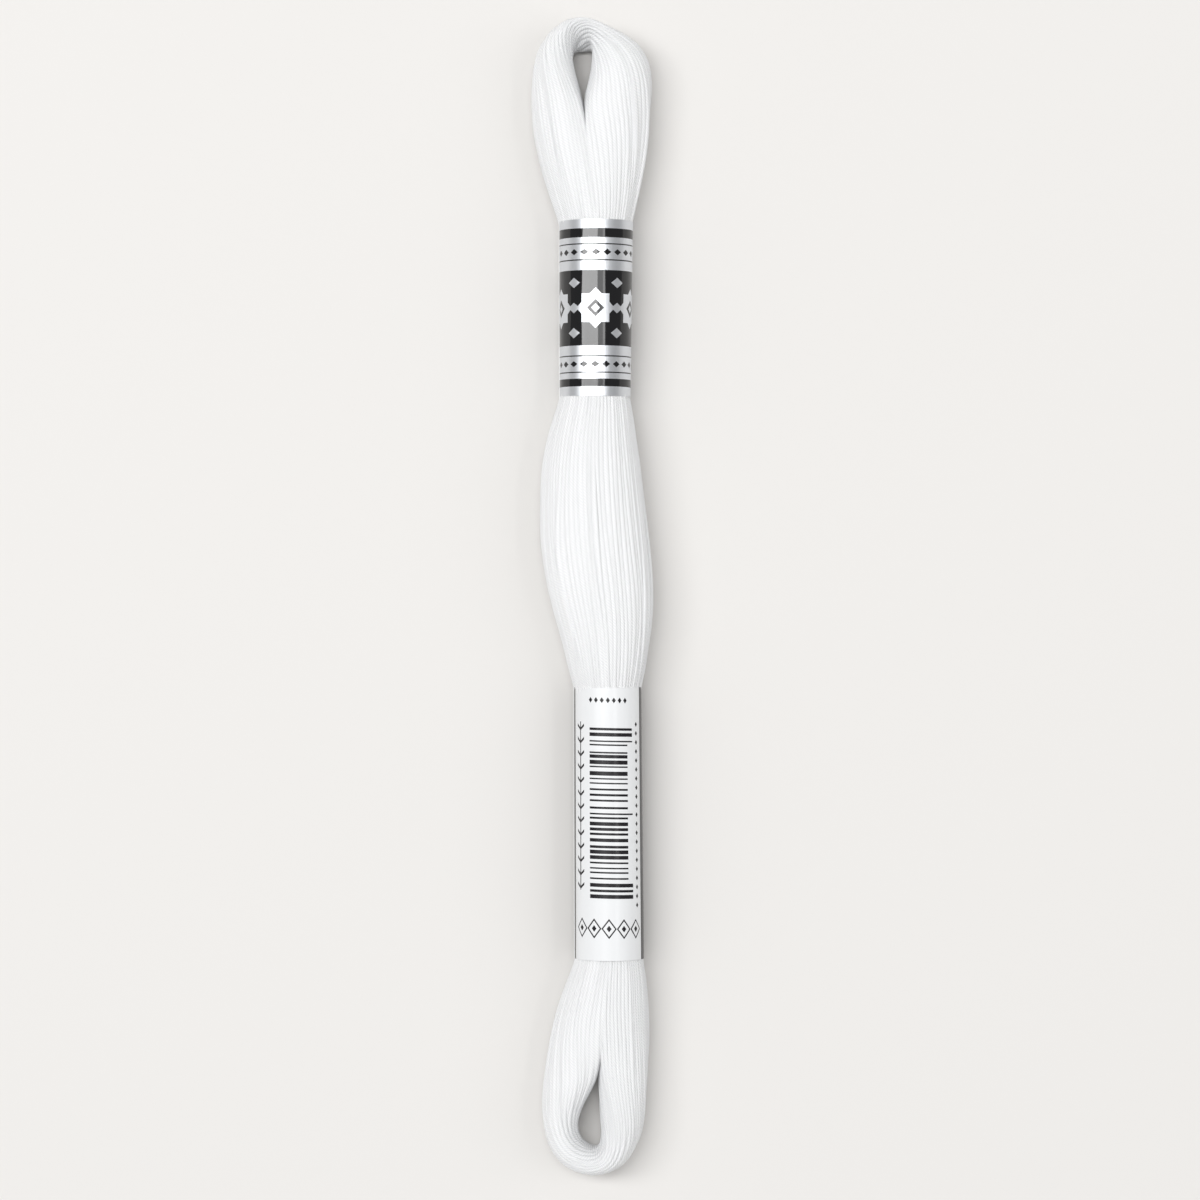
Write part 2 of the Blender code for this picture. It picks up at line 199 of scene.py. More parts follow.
def smoothThrough(places, rows, wanted):
    # a curve through the rows that doesn't overshoot, read at the wanted places
    gaps = np.diff(places)[:, None]
    slopes = np.diff(rows, axis=0) / gaps
    tangents = np.zeros_like(rows)
    tangents[0] = tangents[-1] = (slopes[0] + slopes[-1]) / 2
    product = slopes[:-1] * slopes[1:]
    total = np.where(product > 0, slopes[:-1] + slopes[1:], 1)
    tangents[1:-1] = np.where(product > 0, 2 * product / total, 0)
    index = np.clip(np.searchsorted(places, wanted, side="right") - 1, 0, len(gaps) - 1)
    t = ((wanted - places[index]) / gaps[index, 0])[:, None]
    gap = gaps[index]
    start = (1 + 2 * t) * (1 - t) ** 2 * rows[index] + t * (1 - t) ** 2 * gap * tangents[index]
    end = t * t * (3 - 2 * t) * rows[index + 1] + t * t * (t - 1) * gap * tangents[index + 1]
    return start + end


def limbOutline(angles, flat):
    # a section of unit half sizes, between a half round with its flat side inwards and an ellipse
    turn = (angles + math.pi) % (2 * math.pi) - math.pi
    least, most = thread["arcShare"]
    arc = (least + (most - least) * flat) * math.pi
    onArc = np.abs(turn) <= arc
    alongArc = turn / arc * math.pi / 2
    alongFlat = np.sign(turn) * (math.pi - np.abs(turn)) / (math.pi - arc)
    halfOut = np.where(onArc, 2 * np.cos(alongArc) - 1, -1)
    halfUp = np.where(onArc, np.sin(alongArc), alongFlat)
    return flat * halfOut + (1 - flat) * np.cos(angles), flat * halfUp + (1 - flat) * np.sin(angles)


def waves(random, count, places, shortest, longest, parts=4):
    # one smooth closed wave of about unit height for each of count turns, along the ring
    total = places[-1]
    made = np.zeros((count, len(places)))
    for _ in range(parts):
        cycles = np.round(total / random.uniform(shortest, longest, (count, 1)))
        made += np.sin(2 * math.pi * (cycles * places / total + random.random((count, 1))))
    return made / math.sqrt(parts)


def layerSlots():
    # each turn's own angle and depth in the limb, in the order in which it's wound
    slots = []
    angle = 90.0
    for number, layer in enumerate(thread["layers"]):
        step = 360 / layer["turns"]
        for _ in range(layer["turns"]):
            slots.append((angle, layer["depth"], layer["fill"], number))
            angle += step
        angle += step / 2
    return np.array(slots)


def crowding(halfWidth, halfHeight):
    # 0 where the outer turns have room side by side in a section, 1 where half of them have
    least, most = thread["room"]
    room = 2 * math.pi * np.sqrt((halfWidth ** 2 + halfHeight ** 2) / 2) / thread["layers"][0]["turns"]
    share = np.clip((most - room) / (most - least), 0, 1)
    return share * share * (3 - 2 * share)


def looseShare(loose, ring):
    # 1 half way along a loose turn's span, 0 at its ends and on the other limb
    along = (ring["outerY"] + ring["innerY"]) / 2
    first, last = loose["span"]
    share = np.sin(math.pi * np.clip((along - first) / (last - first), 0, 1))
    away = np.min([np.abs(ring["twist"] - twist) for twist in limbTwists[loose["limb"]]], axis=0)
    proud, level = thread["looseFades"]
    return share * np.clip((level - away) / (level - proud), 0, 1)


def turnPaths():
    # the place of every turn at every sample of the ring
    random = np.random.default_rng(thread["seed"])
    table = ringRows()
    places = placesAlong(table)
    wanted = np.linspace(0, places[-1], thread["samples"] + 1)
    ring = dict(zip(ringColumns, smoothThrough(places, table, wanted).T))
    slots = layerSlots()
    count = len(slots)
    own = np.radians(slots[:, 0])[:, None]
    together = sum(
        np.sin(bunches * own + random.uniform(0, fullTurn)) * waves(random, 1, wanted, *thread["bunchWaves"])
        for bunches in thread["bunches"]) / 2
    apart = waves(random, count, wanted, *thread["wanderWaves"])
    angles = own + np.radians(ring["twist"])
    angles = angles + np.radians(thread["bunching"]) * together + np.radians(thread["wander"]) * apart
    for each in thread["loose"]:
        angles[each["turn"]] += math.radians(each["stray"]) * looseShare(each, ring)
    acrossX, acrossY = ring["outerX"] - ring["innerX"], ring["outerY"] - ring["innerY"]
    halfWidth = np.hypot(acrossX, acrossY) / 2
    halfHeight = (ring["high"] - ring["low"]) / 2
    out, up = limbOutline(angles, ring["flat"])
    wide, high = out * halfWidth, up * halfHeight
    reach = np.hypot(wide, high)
    radius = thread["thick"] / 2
    slack = waves(random, count, wanted, *thread["slackWaves"])
    proud = thread["slack"] * np.clip(slack, *thread["slackLimits"])
    crowded = crowding(halfWidth, halfHeight)
    proud[1::2] -= thread["dive"] * crowded
    for each in thread["loose"]:
        proud[each["turn"]] += each["lift"] * looseShare(each, ring)
    inset = reach - radius - slots[:, 1][:, None] + proud
    kept = np.maximum(inset, thread["leastReach"]) * slots[:, 2][:, None] / reach
    wide, high = wide * kept, high * kept
    # the flat sides of both limbs are pressed together
    wide += np.minimum(out, 0) * radius * ring["flat"]
    # the inner side of a loop's wall slants out towards the bottom
    slant = (1 - np.clip(high / halfHeight, -1, 1)) / 2 * (1 - np.clip(wide / halfWidth, -1, 1)) / 2
    x = (ring["outerX"] + ring["innerX"]) / 2 + wide * acrossX / halfWidth / 2 + slant * ring["underX"]
    y = (ring["outerY"] + ring["innerY"]) / 2 + wide * acrossY / halfWidth / 2 + slant * ring["underY"]
    z = np.maximum((ring["high"] + ring["low"]) / 2 + high, radius)
    along = (ring["outerY"] + ring["innerY"]) / 2
    return eased(np.stack((x, y, z), axis=-1)), slots[:, 3], along, crowded


def eased(paths):
    # the same paths with tight kinks drawn out, as a taut thread's are
    for _ in range(thread["easing"]):
        inner = (paths[:, :-2] + 2 * paths[:, 1:-1] + paths[:, 2:]) / 4
        paths = np.concatenate((paths[:, :1], inner, paths[:, -1:]), axis=1)
    return paths


def oneThread(paths, along):
    # each turn moves over to the next one's place inside the lower band, so that all are one thread
    backUp = np.arange(len(along)) > len(along) * thread["lastStretch"]
    into = (along - thread["shiftFrom"]) / (along[-1] - thread["shiftFrom"])
    shift = np.where(backUp, np.clip(into, 0, 1), 0)
    shift = (shift * shift * (3 - 2 * shift))[:, None]
    following = np.concatenate((paths[1:], paths[-1:]))
    return paths + (following - paths) * shift


def unit(vectors):
    return vectors / np.maximum(np.linalg.norm(vectors, axis=-1, keepdims=True), 1e-9)


def squared(vectors, forward):
    # what is left of the vectors at right angles to forward
    return vectors - (vectors * forward).sum(axis=-1, keepdims=True) * forward


def sideways(paths, crowded, widest):
    # for the turns of one layer, the way from each one's last neighbour to its next, and how far it
    # spreads towards each of the two
    forward = unit(np.gradient(paths, axis=1))
    nearest, second = (
        np.stack((paths - np.roll(paths, n, axis=0), np.roll(paths, -n, axis=0) - paths), axis=-2)
        for n in (1, 2))
    # where the turns are crowded, those on top reach to the next ones on top
    nearest[::2] += (second - nearest)[::2] * crowded[:, None, None]
    apart = squared(nearest, forward[:, :, None])
    gaps = np.linalg.norm(apart, axis=-1)
    widths = np.clip(gaps * thread["spread"], thread["narrowest"], widest)
    return apart.sum(axis=-2), widths / 2


def tube(name, path, side, spreads, sides):
    # a flattened tube along one path, with its length in millimetres kept as V of its UV map
    forward = unit(np.gradient(path, axis=0))
    other = unit(squared(side, forward))
    across = np.cross(other, forward)
    turn = np.arange(sides) * 2 * math.pi / sides
    towards = np.where(np.sin(turn)[None, :] > 0, spreads[:, 1:], spreads[:, :1])
    halfThick = np.minimum(thread["thick"], spreads.sum(axis=1) * thread["roundest"])[:, None] / 2
    ringPoints = ((np.cos(turn) * halfThick)[:, :, None] * across[:, None, :]
                  + (np.sin(turn) * towards)[:, :, None] * other[:, None, :])
    points = (path[:, None, :] + ringPoints).reshape(-1, 3) * mm
    count = len(path)
    corner = np.arange(sides)
    start = np.arange(count - 1)[:, None] * sides
    low, lowNext = start + corner, start + (corner + 1) % sides
    quads = np.stack((low, lowNext, lowNext + sides, low + sides), axis=-1).reshape(-1, 4)
    length = np.concatenate(([0], np.cumsum(np.linalg.norm(np.diff(path, axis=0), axis=1))))
    u = np.broadcast_to(corner / sides, (count - 1, sides))
    v, vNext = (np.broadcast_to(part[:, None], u.shape) for part in (length[:-1], length[1:]))
    uNext = u + 1 / sides
    uvs = np.stack((u, v, uNext, v, uNext, vNext, u, vNext), axis=-1).reshape(-1, 2)
    return meshFromArrays(name, points, quads, uvs), length[-1]


def meshFromArrays(name, points, quads, uvs):
    mesh = bpy.data.meshes.new(name)
    mesh.vertices.add(len(points))
    mesh.vertices.foreach_set("co", points.astype(np.float32).ravel())
    mesh.loops.add(quads.size)
    mesh.loops.foreach_set("vertex_index", quads.astype(np.int32).ravel())
    mesh.polygons.add(len(quads))
    mesh.polygons.foreach_set("loop_start", np.arange(0, quads.size, 4, dtype=np.int32))
    mesh.uv_layers.new(name="UVMap").data.foreach_set("uv", uvs.astype(np.float32).ravel())
    mesh.update(calc_edges=True)
    mesh.shade_smooth()
    piece = bpy.data.objects.new(name, mesh)
    bpy.context.scene.collection.objects.link(piece)
    return piece


def deselectAll():
    for each in bpy.context.selected_objects:
        each.select_set(False)


def closeEnds(piece, sides):
    # fills the two cut ends of a tube
    deselectAll()
    bpy.context.view_layer.objects.active = piece
    piece.select_set(True)
    bpy.ops.object.mode_set(mode="EDIT")
    bpy.ops.mesh.select_all(action="DESELECT")
    bpy.ops.mesh.select_mode(type="VERT")
    bpy.ops.mesh.select_non_manifold(extend=False)
    bpy.ops.mesh.fill_holes(sides=sides)
    bpy.ops.object.mode_set(mode="OBJECT")


def calc(tree, operation, *values):
    # one Math node, fed with sockets or numbers
    node = tree.nodes.new("ShaderNodeMath")
    node.operation = operation
    for socket, value in zip(node.inputs, values):
        if isinstance(value, (int, float)):
            socket.default_value = value
        else:
            tree.links.new(value, socket)
    return node.outputs[0]


def plainMaterial(name):
    material = bpy.data.materials.new(name)
    material.use_nodes = True
    return material, material.node_tree, material.node_tree.nodes["Principled BSDF"]


def uvParts(tree):
    coordinates = tree.nodes.new("ShaderNodeTexCoord")
    apart = tree.nodes.new("ShaderNodeSeparateXYZ")
    tree.links.new(coordinates.outputs["UV"], apart.inputs[0])
    return apart.outputs[0], apart.outputs[1]


def bump(tree, shader, height, distance):
    node = tree.nodes.new("ShaderNodeBump")
    node.inputs["Distance"].default_value = distance * mm
    node.inputs["Strength"].default_value = 1.0
    tree.links.new(height, node.inputs["Height"])
    tree.links.new(node.outputs[0], shader.inputs["Normal"])


def mixed(tree, share, first, second):
    # a colour between two, by share; the Mix node's colour sockets are its last ones
    node = tree.nodes.new("ShaderNodeMix")
    node.data_type = "RGBA"
    tree.links.new(share, node.inputs["Factor"])
    colourA, colourB, result = node.inputs[6], node.inputs[7], node.outputs[2]
    colourA.default_value = (*first, 1)
    colourB.default_value = (*second, 1)
    return result


# the cotton's second colour is painted shade, laid into the grooves between the plies
cotton = {
    "white": (0.905, 0.907, 0.91), "shadeColour": (0.77, 0.79, 0.82), "grooveEdge": 2.0,
    "roughness": 0.5, "sheen": 0.25, "sheenRoughness": 0.4, "relief": 0.07,
}


def cottonMaterial():
    # plied white cotton: the plies run round each thread, and painted shade darkens the grooves between them
    material, tree, shader = plainMaterial("whiteCotton")
    around, along = uvParts(tree)
    turns = calc(tree, "ADD", calc(tree, "MULTIPLY", around, thread["plies"]),
                 calc(tree, "MULTIPLY", along, thread["plies"] / thread["plyPitch"]))
    ply = calc(tree, "ABSOLUTE", calc(tree, "SINE", calc(tree, "MULTIPLY", turns, math.pi)))
    # painted shade: the grooves between the plies get a darker grey-blue colour
    shadeShare = calc(tree, "POWER", calc(tree, "SUBTRACT", 1.0, ply), cotton["grooveEdge"])
    colour = mixed(tree, shadeShare, cotton["white"], cotton["shadeColour"])
    tree.links.new(colour, shader.inputs["Base Color"])
    shader.inputs["Roughness"].default_value = cotton["roughness"]
    shader.inputs["Sheen Weight"].default_value = cotton["sheen"]
    shader.inputs["Sheen Roughness"].default_value = cotton["sheenRoughness"]
    bump(tree, shader, ply, cotton["relief"])
    return material


def windThread():
    paths, layerOf, along, crowded = turnPaths()
    paths = oneThread(paths, along)
    material = cottonMaterial()
    names = ("threadOuter", "threadMiddle", "threadInner", "threadCore")
    total = 0
    for number, (name, layer) in enumerate(zip(names, thread["layers"])):
        laid = paths[layerOf == number]
        side, spreads = sideways(laid, crowded, layer["widest"])
        path, side = laid[:, :-1].reshape(-1, 3), side[:, :-1].reshape(-1, 3)
        piece, length = tube(name, path, side, spreads[:, :-1].reshape(-1, 2), layer["sides"])
        closeEnds(piece, layer["sides"])
        piece.data.materials.append(material)
        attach(piece, "root")
        total += length
    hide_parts("skein")
    print(f"thread wound: {len(layerOf)} turns, {total * mm:.2f} m")


# the paper bands, each a flat strip printed and then rolled round the thread; in pairs of values,
# the band's upper end comes first
upperBand = {
    "name": "upperBandPaper", "node": "upper_band", "slot": "silver_paper",
    "along": (54.1, 28.8), "middle": (0.62, 0.43), "radius": (5.35, 5.15), "alongCuts": 26,
}
lowerBand = {
    "name": "lowerBandPaper", "node": "lower_band", "slot": "white_paper",
    "along": (-13.1, -52.3), "middle": (2.28, 2.50), "radius": (4.88, 5.02), "alongCuts": 36,
}
paper = {
    "thickness": 0.12, "aroundCuts": 150,
    "lap": 4.0, "lapAt": 232,  # how far the paper laps over itself, and where round the band, in degrees
    "stepStart": 1.6, "stepLength": 0.6,  # where the far end steps out, in laps before it, and over how many
    "rise": 1.15, "tuck": 0.15,  # in thicknesses: how far it steps out, and how far the start tucks in
    "flatAngle": 12,  # degrees of a band that lie on the surface, each side of straight down
    # slow waves that keep the paper from lying perfectly round
    "waves": ({"height": 0.03, "around": 3, "along": 0, "start": 1.1},
              {"height": 0.02, "around": 5, "along": 4, "start": 0}),
    "sharpFrom": 50,  # degrees from which an edge is shaded sharp
    "back": (0.82, 0.82, 0.81), "backRoughness": 0.7,
}


def fromEndToEnd(pair, share):
    # a value between a band's lower end (share 0) and its upper end (share 1)
    return pair[1] + (pair[0] - pair[1]) * share


def stripWidth(settings):
    return 2 * math.pi * sum(settings["radius"]) / 2 + paper["lap"]


def topOfStrip(settings):
    # the share of the strip's width that comes to lie on top
    turned = (paper["lapAt"] - 90) / 360
    return turned * (stripWidth(settings) - paper["lap"]) / stripWidth(settings)


def rollBand(settings, materials):
    width = stripWidth(settings)
    deselectAll()
    bpy.ops.mesh.primitive_grid_add(
        x_subdivisions=paper["aroundCuts"], y_subdivisions=settings["alongCuts"], size=1, calc_uvs=True)
    piece = bpy.context.object
    piece.name = piece.data.name = settings["name"]
    flat = np.zeros(len(piece.data.vertices) * 3)
    piece.data.vertices.foreach_get("co", flat)
    flat = flat.reshape(-1, 3) + 0.5
    across, along = flat[:, 0], flat[:, 1]
    radius = fromEndToEnd(settings["radius"], along)
    lapShare = paper["lap"] / width
    # the strip's far end lies over its start, so the paper steps out by its own thickness there
    stepStart = 1 - paper["stepStart"] * lapShare
    step = np.clip((across - stepStart) / (paper["stepLength"] * lapShare), 0, 1)
    stepped = paper["rise"] * step * step * (3 - 2 * step) - paper["tuck"]
    angle = np.radians(paper["lapAt"] - 360 * across * width / (width - paper["lap"]))
    uneven = sum(wave["height"] * np.cos(wave["around"] * angle + wave["along"] * along + wave["start"])
                 for wave in paper["waves"])
    surface = radius + paper["thickness"] * (stepped - 1) + uneven
    axis = radius * math.cos(math.radians(paper["flatAngle"]))
    x = fromEndToEnd(settings["middle"], along) + surface * np.cos(angle)
    y = fromEndToEnd(settings["along"], along)
    z = np.maximum(axis + surface * np.sin(angle), paper["thickness"])
    rolled = np.column_stack((x, y, z)) * mm
    piece.data.vertices.foreach_set("co", rolled.ravel())
    piece.data.update()
    thicken = piece.modifiers.new("paper", "SOLIDIFY")
    thicken.thickness = paper["thickness"] * mm
    thicken.offset = 1
    thicken.material_offset = thicken.material_offset_rim = 1
    for material in materials:
        piece.data.materials.append(material)
    bpy.ops.object.modifier_apply(modifier="paper")
    piece.data.shade_smooth()
    piece.data.set_sharp_from_angle(angle=math.radians(paper["sharpFrom"]))
    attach(piece, "root")
    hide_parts(settings["node"])


def plainPaper():
    material, _, shader = plainMaterial("paperBack")
    shader.inputs["Base Color"].default_value = (*paper["back"], 1)
    shader.inputs["Roughness"].default_value = paper["backRoughness"]
    return material


# masks for the prints are 1 inside a shape and 0 outside it
def between(tree, value, low, high):
    over, under = calc(tree, "GREATER_THAN", value, low), calc(tree, "LESS_THAN", value, high)
    return calc(tree, "MULTIPLY", over, under)


def within(tree, value, half):
    return calc(tree, "LESS_THAN", calc(tree, "ABSOLUTE", value), half)


def outFrom(tree, x, y, half, tall):
    # 0 in the middle of a diamond of these half sizes, and 1 at its edge
    return calc(tree, "ADD", calc(tree, "DIVIDE", calc(tree, "ABSOLUTE", x), half),
                calc(tree, "DIVIDE", calc(tree, "ABSOLUTE", y), tall))


def diamond(tree, x, y, half, tall):
    return calc(tree, "LESS_THAN", outFrom(tree, x, y, half, tall), 1.0)


def outlinedDiamond(tree, x, y, half, tall, stroke):
    # the line's width is twice stroke, which is a share of the half sizes
    return within(tree, calc(tree, "SUBTRACT", outFrom(tree, x, y, half, tall), 1 - stroke), stroke)


def anyOf(tree, masks):
    total = masks[0]
    for mask in masks[1:]:
        total = calc(tree, "MAXIMUM", total, mask)
    return total


def allOf(tree, masks):
    total = masks[0]
    for mask in masks[1:]:
        total = calc(tree, "MULTIPLY", total, mask)
    return total


def repeated(tree, value, pitch):
    return calc(tree, "WRAP", value, pitch / 2, -pitch / 2)


def printPlace(tree, settings):
    # millimetres right of the top line, and down from the band's upper end
    u, v = uvParts(tree)
    width = stripWidth(settings)
    top, bottom = settings["along"]
    aside = calc(tree, "MULTIPLY", calc(tree, "SUBTRACT", u, topOfStrip(settings)), width)
    down = calc(tree, "MULTIPLY", calc(tree, "SUBTRACT", 1.0, v), top - bottom)
    return aside, down


# printed places are measured down from the band's upper end, and shapes by their half sizes
silverPrint = {
    "rings": ((1.3, 2.6), (3.45, 3.62), (5.75, 5.92), (7.3, 18.1), (19.5, 19.67), (21.85, 22.02),
              (22.85, 23.95)),
    "diamondRows": (4.7, 20.75), "diamond": (0.62, 0.45), "diamondPitch": 1.66,
    "starAt": 12.7, "starPitch": 6.64, "star": 2.05,
    "points": 1.414, "heart": 0.62, "core": 0.3,  # in stars: its turned square, black diamond and core
    "spark": (1.0, 0.75), "sparkOff": 3.6,  # the diamonds between the stars
    "paper": (0.74, 0.76, 0.79), "ink": (0.006, 0.006, 0.007), "refraction": 1.5, "ripple": 0.02,
    "metal": (0.92, 0.0), "roughness": (0.4, 0.08),  # of the paper, of the ink
}


def silverMaterial():
    # silver paper with black rings, a black panel of eight-pointed stars and two rows of diamonds
    material, tree, shader = plainMaterial("silverPaper")
    aside, down = printPlace(tree, upperBand)
    p = silverPrint
    rings = anyOf(tree, [between(tree, down, low, high) for low, high in p["rings"]])
    small = repeated(tree, aside, p["diamondPitch"])
    rows = [diamond(tree, small, calc(tree, "SUBTRACT", down, at), *p["diamond"]) for at in p["diamondRows"]]
    starX = repeated(tree, aside, p["starPitch"])
    starY = calc(tree, "SUBTRACT", down, p["starAt"])
    square = allOf(tree, [within(tree, starX, p["star"]), within(tree, starY, p["star"])])
    turned, heart, core = (
        diamond(tree, starX, starY, p["star"] * size, p["star"] * size)
        for size in (p["points"], p["heart"], p["core"]))
    betweenX = repeated(tree, calc(tree, "ADD", aside, p["starPitch"] / 2), p["starPitch"])
    sparks = [diamond(tree, betweenX, calc(tree, "SUBTRACT", down, p["starAt"] + off), *p["spark"])
              for off in (-p["sparkOff"], 0.0, p["sparkOff"])]
    bare = anyOf(tree, [calc(tree, "SUBTRACT", anyOf(tree, [square, turned]), heart), core] + sparks)
    ink = anyOf(tree, [calc(tree, "SUBTRACT", rings, calc(tree, "MULTIPLY", rings, bare))] + rows)
    tree.links.new(mixed(tree, ink, p["paper"], p["ink"]), shader.inputs["Base Color"])
    for finish, (onPaper, onInk) in (("Metallic", p["metal"]), ("Roughness", p["roughness"])):
        tree.links.new(calc(tree, "MULTIPLY_ADD", ink, onInk - onPaper, onPaper), shader.inputs[finish])
    shader.inputs["IOR"].default_value = p["refraction"]
    bump(tree, shader, rippled(tree, aside, down), p["ripple"])
    return material


ripples = {"across": 1.1, "along": 0.06, "detail": 2.0}  # how closely they follow each other each way


def rippled(tree, aside, down):
    # long shallow ripples that run along the paper
    noise = tree.nodes.new("ShaderNodeTexNoise")
    noise.inputs["Scale"].default_value = 1.0
    noise.inputs["Detail"].default_value = ripples["detail"]
    place = tree.nodes.new("ShaderNodeCombineXYZ")
    tree.links.new(calc(tree, "MULTIPLY", aside, ripples["across"]), place.inputs[0])
    tree.links.new(calc(tree, "MULTIPLY", down, ripples["along"]), place.inputs[1])
    tree.links.new(place.outputs[0], noise.inputs["Vector"])
    return noise.outputs["Fac"]


# printed places are measured across from the band's top line and down from its upper end
whitePrint = {
    "skew": 0.024,  # how far the print runs down for each millimetre across
    "front": (-6.4, 5.85),  # the rest of the strip is black
    "bars": {"down": (5.6, 30.4), "across": (-2.83, 3.01), "pitch": 0.8,
             "longDown": ((5.6, 8.0), (17.6, 18.4), (28.0, 30.4)), "longTo": 3.9,
             "narrowest": 0.26, "spread": 0.5, "room": 0.85,  # in pitches
             "firstDraw": 3.5, "shuffle": 7.31},
    "leaves": {"across": -4.7, "down": (5.0, 29.2), "pitch": 1.9, "slope": -0.8, "start": 0.4,
               "thick": 0.2, "reach": 0.8, "stem": 0.1},
    "column": {"across": 4.8, "down": (4.6, 31.9), "pitch": 1.3, "diamond": (0.3, 0.38)},
    "topRow": {"down": 1.8, "reach": 3.1, "pitch": 0.88, "diamond": (0.3, 0.42)},
    "stitches": {"down": 34.6, "reach": 5.5, "pitch": 2.2, "tall": 1.45, "stroke": 0.11, "inner": 3},
    "paper": (0.765, 0.775, 0.785), "ink": (0.012, 0.011, 0.013),
    "roughness": 0.22, "specular": 0.4, "ripple": 0.03,
}


def whiteMaterial():
    # glossy white paper with a ladder of bars, stitched marks round it and a black back
    material, tree, shader = plainMaterial("whitePaper")
    aside, straightDown = printPlace(tree, lowerBand)
    p = whitePrint
    down = calc(tree, "SUBTRACT", straightDown, calc(tree, "MULTIPLY", aside, p["skew"]))
    makers = (barLadder, leafColumn, diamondColumn, topRow, stitches)
    marks = anyOf(tree, [maker(tree, aside, down) for maker in makers])
    front = between(tree, aside, *p["front"])
    ink = anyOf(tree, [calc(tree, "MULTIPLY", marks, front), calc(tree, "SUBTRACT", 1.0, front)])
    tree.links.new(mixed(tree, ink, p["paper"], p["ink"]), shader.inputs["Base Color"])
    shader.inputs["Roughness"].default_value = p["roughness"]
    shader.inputs["Specular IOR Level"].default_value = p["specular"]
    bump(tree, shader, rippled(tree, aside, down), p["ripple"])
    return material


def barLadder(tree, aside, down):
    # bars of several widths, the narrower ones anywhere in their own pitch, and some of them longer
    p = whitePrint["bars"]
    place = calc(tree, "DIVIDE", down, p["pitch"])
    noise = tree.nodes.new("ShaderNodeTexWhiteNoise")
    noise.noise_dimensions = "1D"
    tree.links.new(calc(tree, "ADD", calc(tree, "FLOOR", place), p["firstDraw"]), noise.inputs["W"])
    drawn = noise.outputs["Value"]
    wide = calc(tree, "MULTIPLY_ADD", calc(tree, "POWER", drawn, 2.0), p["spread"], p["narrowest"])
    start = calc(tree, "MULTIPLY", calc(tree, "FRACT", calc(tree, "MULTIPLY", drawn, p["shuffle"])),
                 calc(tree, "SUBTRACT", p["room"], wide))
    intoBar = calc(tree, "SUBTRACT", calc(tree, "FRACT", place), start)
    bars = between(tree, intoBar, 0.0, wide)
    left, right = p["across"]
    short = allOf(tree, [between(tree, down, *p["down"]), between(tree, aside, left, right)])
    longDown = anyOf(tree, [between(tree, down, *span) for span in p["longDown"]])
    long = allOf(tree, [longDown, between(tree, aside, left, p["longTo"])])
    return allOf(tree, [bars, anyOf(tree, [short, long])])


def leafColumn(tree, aside, down):
    # leaves in pairs on a stem, like a row of chain stitch
    p = whitePrint["leaves"]
    x, y = calc(tree, "SUBTRACT", aside, p["across"]), repeated(tree, down, p["pitch"])
    vein = calc(tree, "MULTIPLY_ADD", calc(tree, "ABSOLUTE", x), p["slope"], p["start"])
    offVein = calc(tree, "SUBTRACT", y, vein)
    leaves = allOf(tree, [within(tree, offVein, p["thick"]), within(tree, x, p["reach"])])
    return allOf(tree, [anyOf(tree, [leaves, within(tree, x, p["stem"])]), between(tree, down, *p["down"])])


def diamondColumn(tree, aside, down):
    p = whitePrint["column"]
    x, y = calc(tree, "SUBTRACT", aside, p["across"]), repeated(tree, down, p["pitch"])
    return allOf(tree, [diamond(tree, x, y, *p["diamond"]), between(tree, down, *p["down"])])


def topRow(tree, aside, down):
    p = whitePrint["topRow"]
    x, y = repeated(tree, aside, p["pitch"]), calc(tree, "SUBTRACT", down, p["down"])
    return allOf(tree, [diamond(tree, x, y, *p["diamond"]), within(tree, aside, p["reach"])])


def stitches(tree, aside, down):
    # a row of large diamonds with a small one inside each
    p = whitePrint["stitches"]
    x, y = repeated(tree, aside, p["pitch"]), calc(tree, "SUBTRACT", down, p["down"])
    half, tall = p["pitch"] / 2, p["tall"]
    large = outlinedDiamond(tree, x, y, half, tall, p["stroke"])
    small = diamond(tree, x, y, half / p["inner"], tall / p["inner"])
    return allOf(tree, [anyOf(tree, [large, small]), within(tree, aside, p["reach"])])


studio = {
    "floor": (0.725, 0.711, 0.692), "floorSize": 4.0, "floorRoughness": 0.9, "floorSpecular": 0.2,
    "surround": 0.48, "reflected": 0.3,
}

# area lights that all hang equally far off: the angle from straight up to the right, how far along the
# skein, size across and along, power; the edge only shows as a reflection, and the fill never does
lightsAway = 1.5
lights = (
    {"name": "softbox", "angle": -18, "along": 0.25, "size": (1.46, 0.38), "power": 17.3},
    {"name": "strip", "angle": 28, "along": 0.0, "size": (0.16, 0.9), "power": 1.3},
    {"name": "lowStrip", "angle": -14, "along": -0.2, "size": (0.3, 0.46), "power": 0.45},
    {"name": "edge", "angle": 19, "along": 0.25, "size": (0.62, 0.38), "power": 2.5, "lights": False},
    {"name": "fill", "angle": 50, "along": 0.0, "size": (0.9, 0.9), "power": 2.6, "mirrors": False},
)


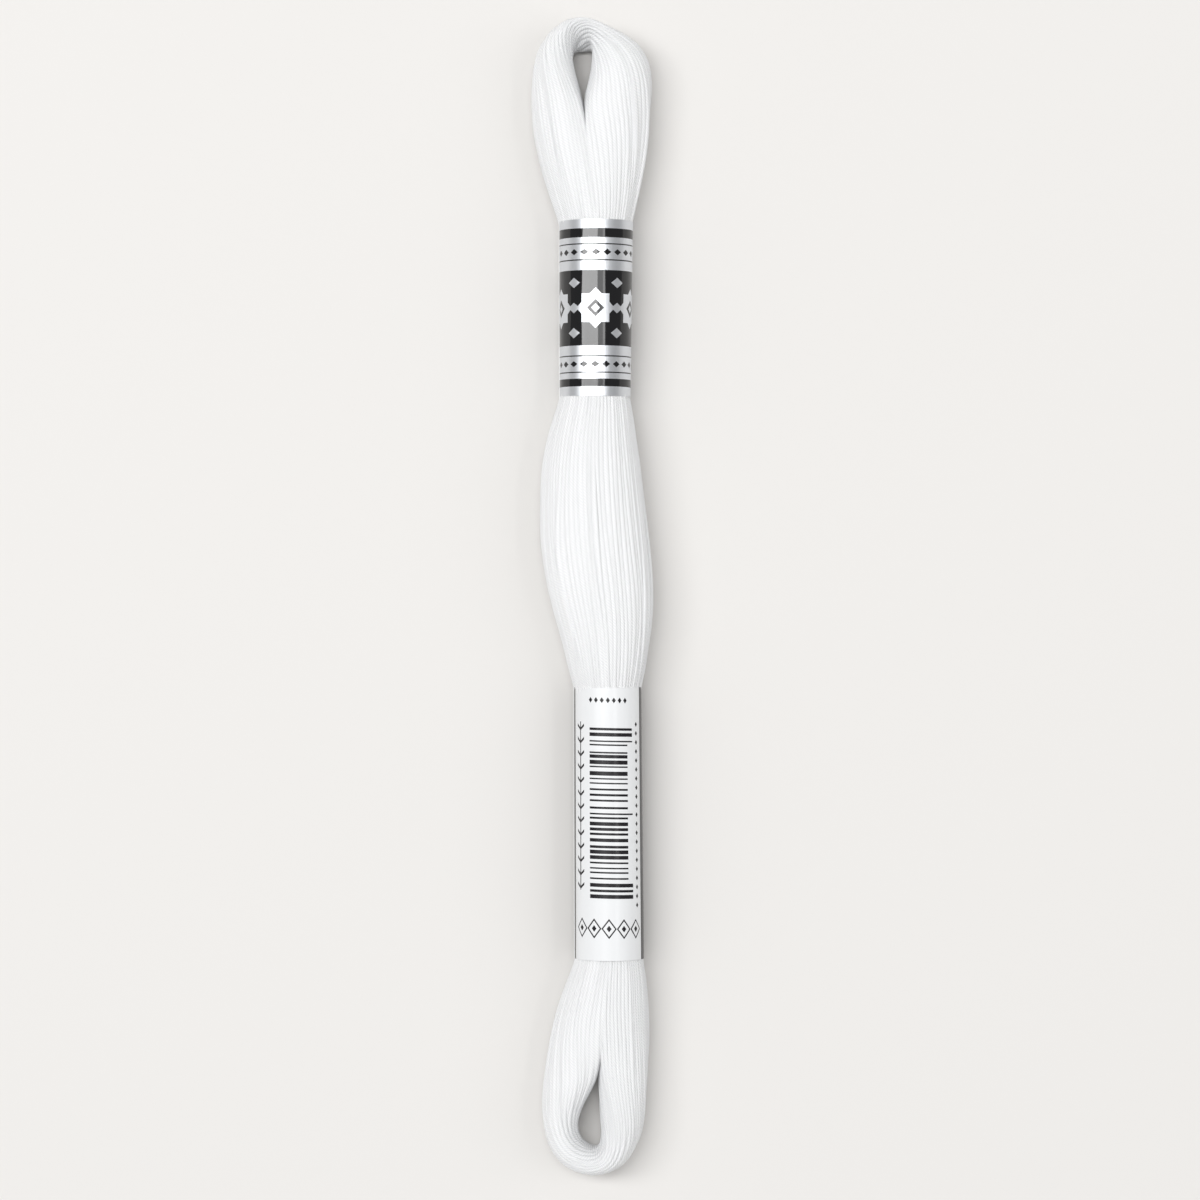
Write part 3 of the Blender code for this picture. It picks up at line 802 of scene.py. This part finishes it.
def aimedLight(settings):
    # an area light over the skein, turned to its middle
    angle = math.radians(settings["angle"])
    light = bpy.data.lights.new(settings["name"], "AREA")
    light.shape = "RECTANGLE"
    light.size, light.size_y = settings["size"]
    light.energy = settings["power"]
    lamp = bpy.data.objects.new(settings["name"], light)
    bpy.context.scene.collection.objects.link(lamp)
    lamp.location = (lightsAway * math.sin(angle), settings["along"], lightsAway * math.cos(angle))
    lamp.rotation_euler = (0, angle, 0)
    lamp.visible_glossy = settings.get("mirrors", True)
    lamp.visible_diffuse = settings.get("lights", True)


def makeStudio():
    deselectAll()
    bpy.ops.mesh.primitive_plane_add(size=studio["floorSize"], location=(0, 0, 0))
    floor = bpy.context.object
    floor.name = "floor"
    material, _, shader = plainMaterial("floorSurface")
    shader.inputs["Base Color"].default_value = (*studio["floor"], 1)
    shader.inputs["Roughness"].default_value = studio["floorRoughness"]
    shader.inputs["Specular IOR Level"].default_value = studio["floorSpecular"]
    floor.data.materials.append(material)
    for settings in lights:
        aimedLight(settings)
    world = bpy.data.worlds.new("surround")
    bpy.context.scene.world = world
    world.use_nodes = True
    # the walls' reflections are dimmer than their light on the skein
    tree = world.node_tree
    path = tree.nodes.new("ShaderNodeLightPath")
    strength = calc(tree, "MULTIPLY_ADD", path.outputs["Is Glossy Ray"],
                    studio["reflected"] - studio["surround"], studio["surround"])
    tree.nodes["Background"].inputs[0].default_value = (1, 1, 1, 1)
    tree.links.new(strength, tree.nodes["Background"].inputs[1])
    bpy.context.scene.view_settings.view_transform = "Standard"


def makeCamera():
    data = bpy.data.cameras.new("camera")
    camera = bpy.data.objects.new("camera", data)
    bpy.context.scene.collection.objects.link(camera)
    c = cameraSettings
    camera.location = (c["x"] * mm, c["y"] * mm, (c["distance"] + c["height"]) * mm)
    data.sensor_width = c["sensor"]
    data.lens = c["sensor"] * c["distance"] / c["view"]
    data.clip_start = c["nearest"] * mm
    bpy.context.scene.camera = camera


makeCamera()
makeStudio()
print("camera and studio ready")
windThread()
back = plainPaper()
rollBand(upperBand, [silverMaterial(), back])
rollBand(lowerBand, [whiteMaterial(), back])
print("bands rolled")
